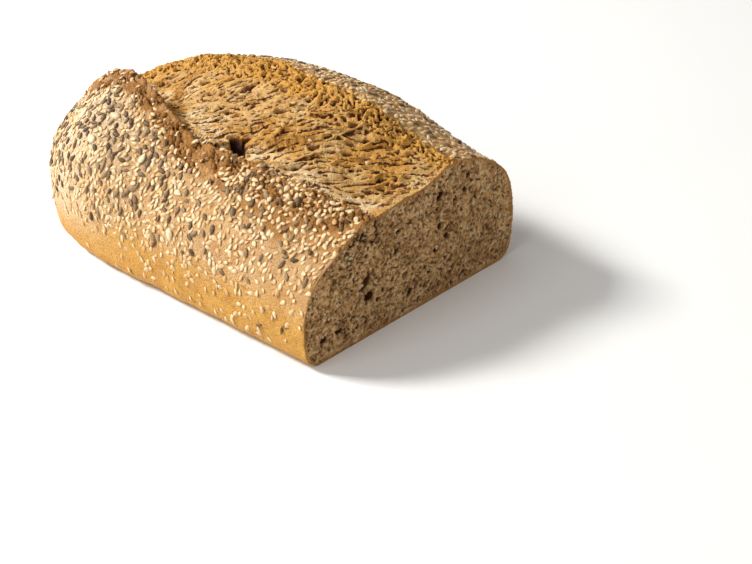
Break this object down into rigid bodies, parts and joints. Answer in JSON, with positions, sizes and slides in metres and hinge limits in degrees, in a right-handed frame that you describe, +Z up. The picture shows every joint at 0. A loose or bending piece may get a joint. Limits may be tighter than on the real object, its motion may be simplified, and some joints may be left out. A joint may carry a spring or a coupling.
{
  "type": "tin loaf",
  "caption": "Wide, low multigrain loaf of bread with a torn open top, a flat base, a rounded whole end and a flat cut face where slices were taken.",
  "frame": {"origin": "middle of the loaf's box at the height of its flat base", "axes": "+X along the loaf from the rounded whole end to the cut face, +Y across the loaf to the side of the high ridge, +Z up from the base"},
  "size_m": [0.206, 0.1404, 0.082],
  "materials": {
    "baked_crust": null
  },
  "bodies": {
    "root": {"loaf": "baked_crust"}
  },
  "joints": []
}
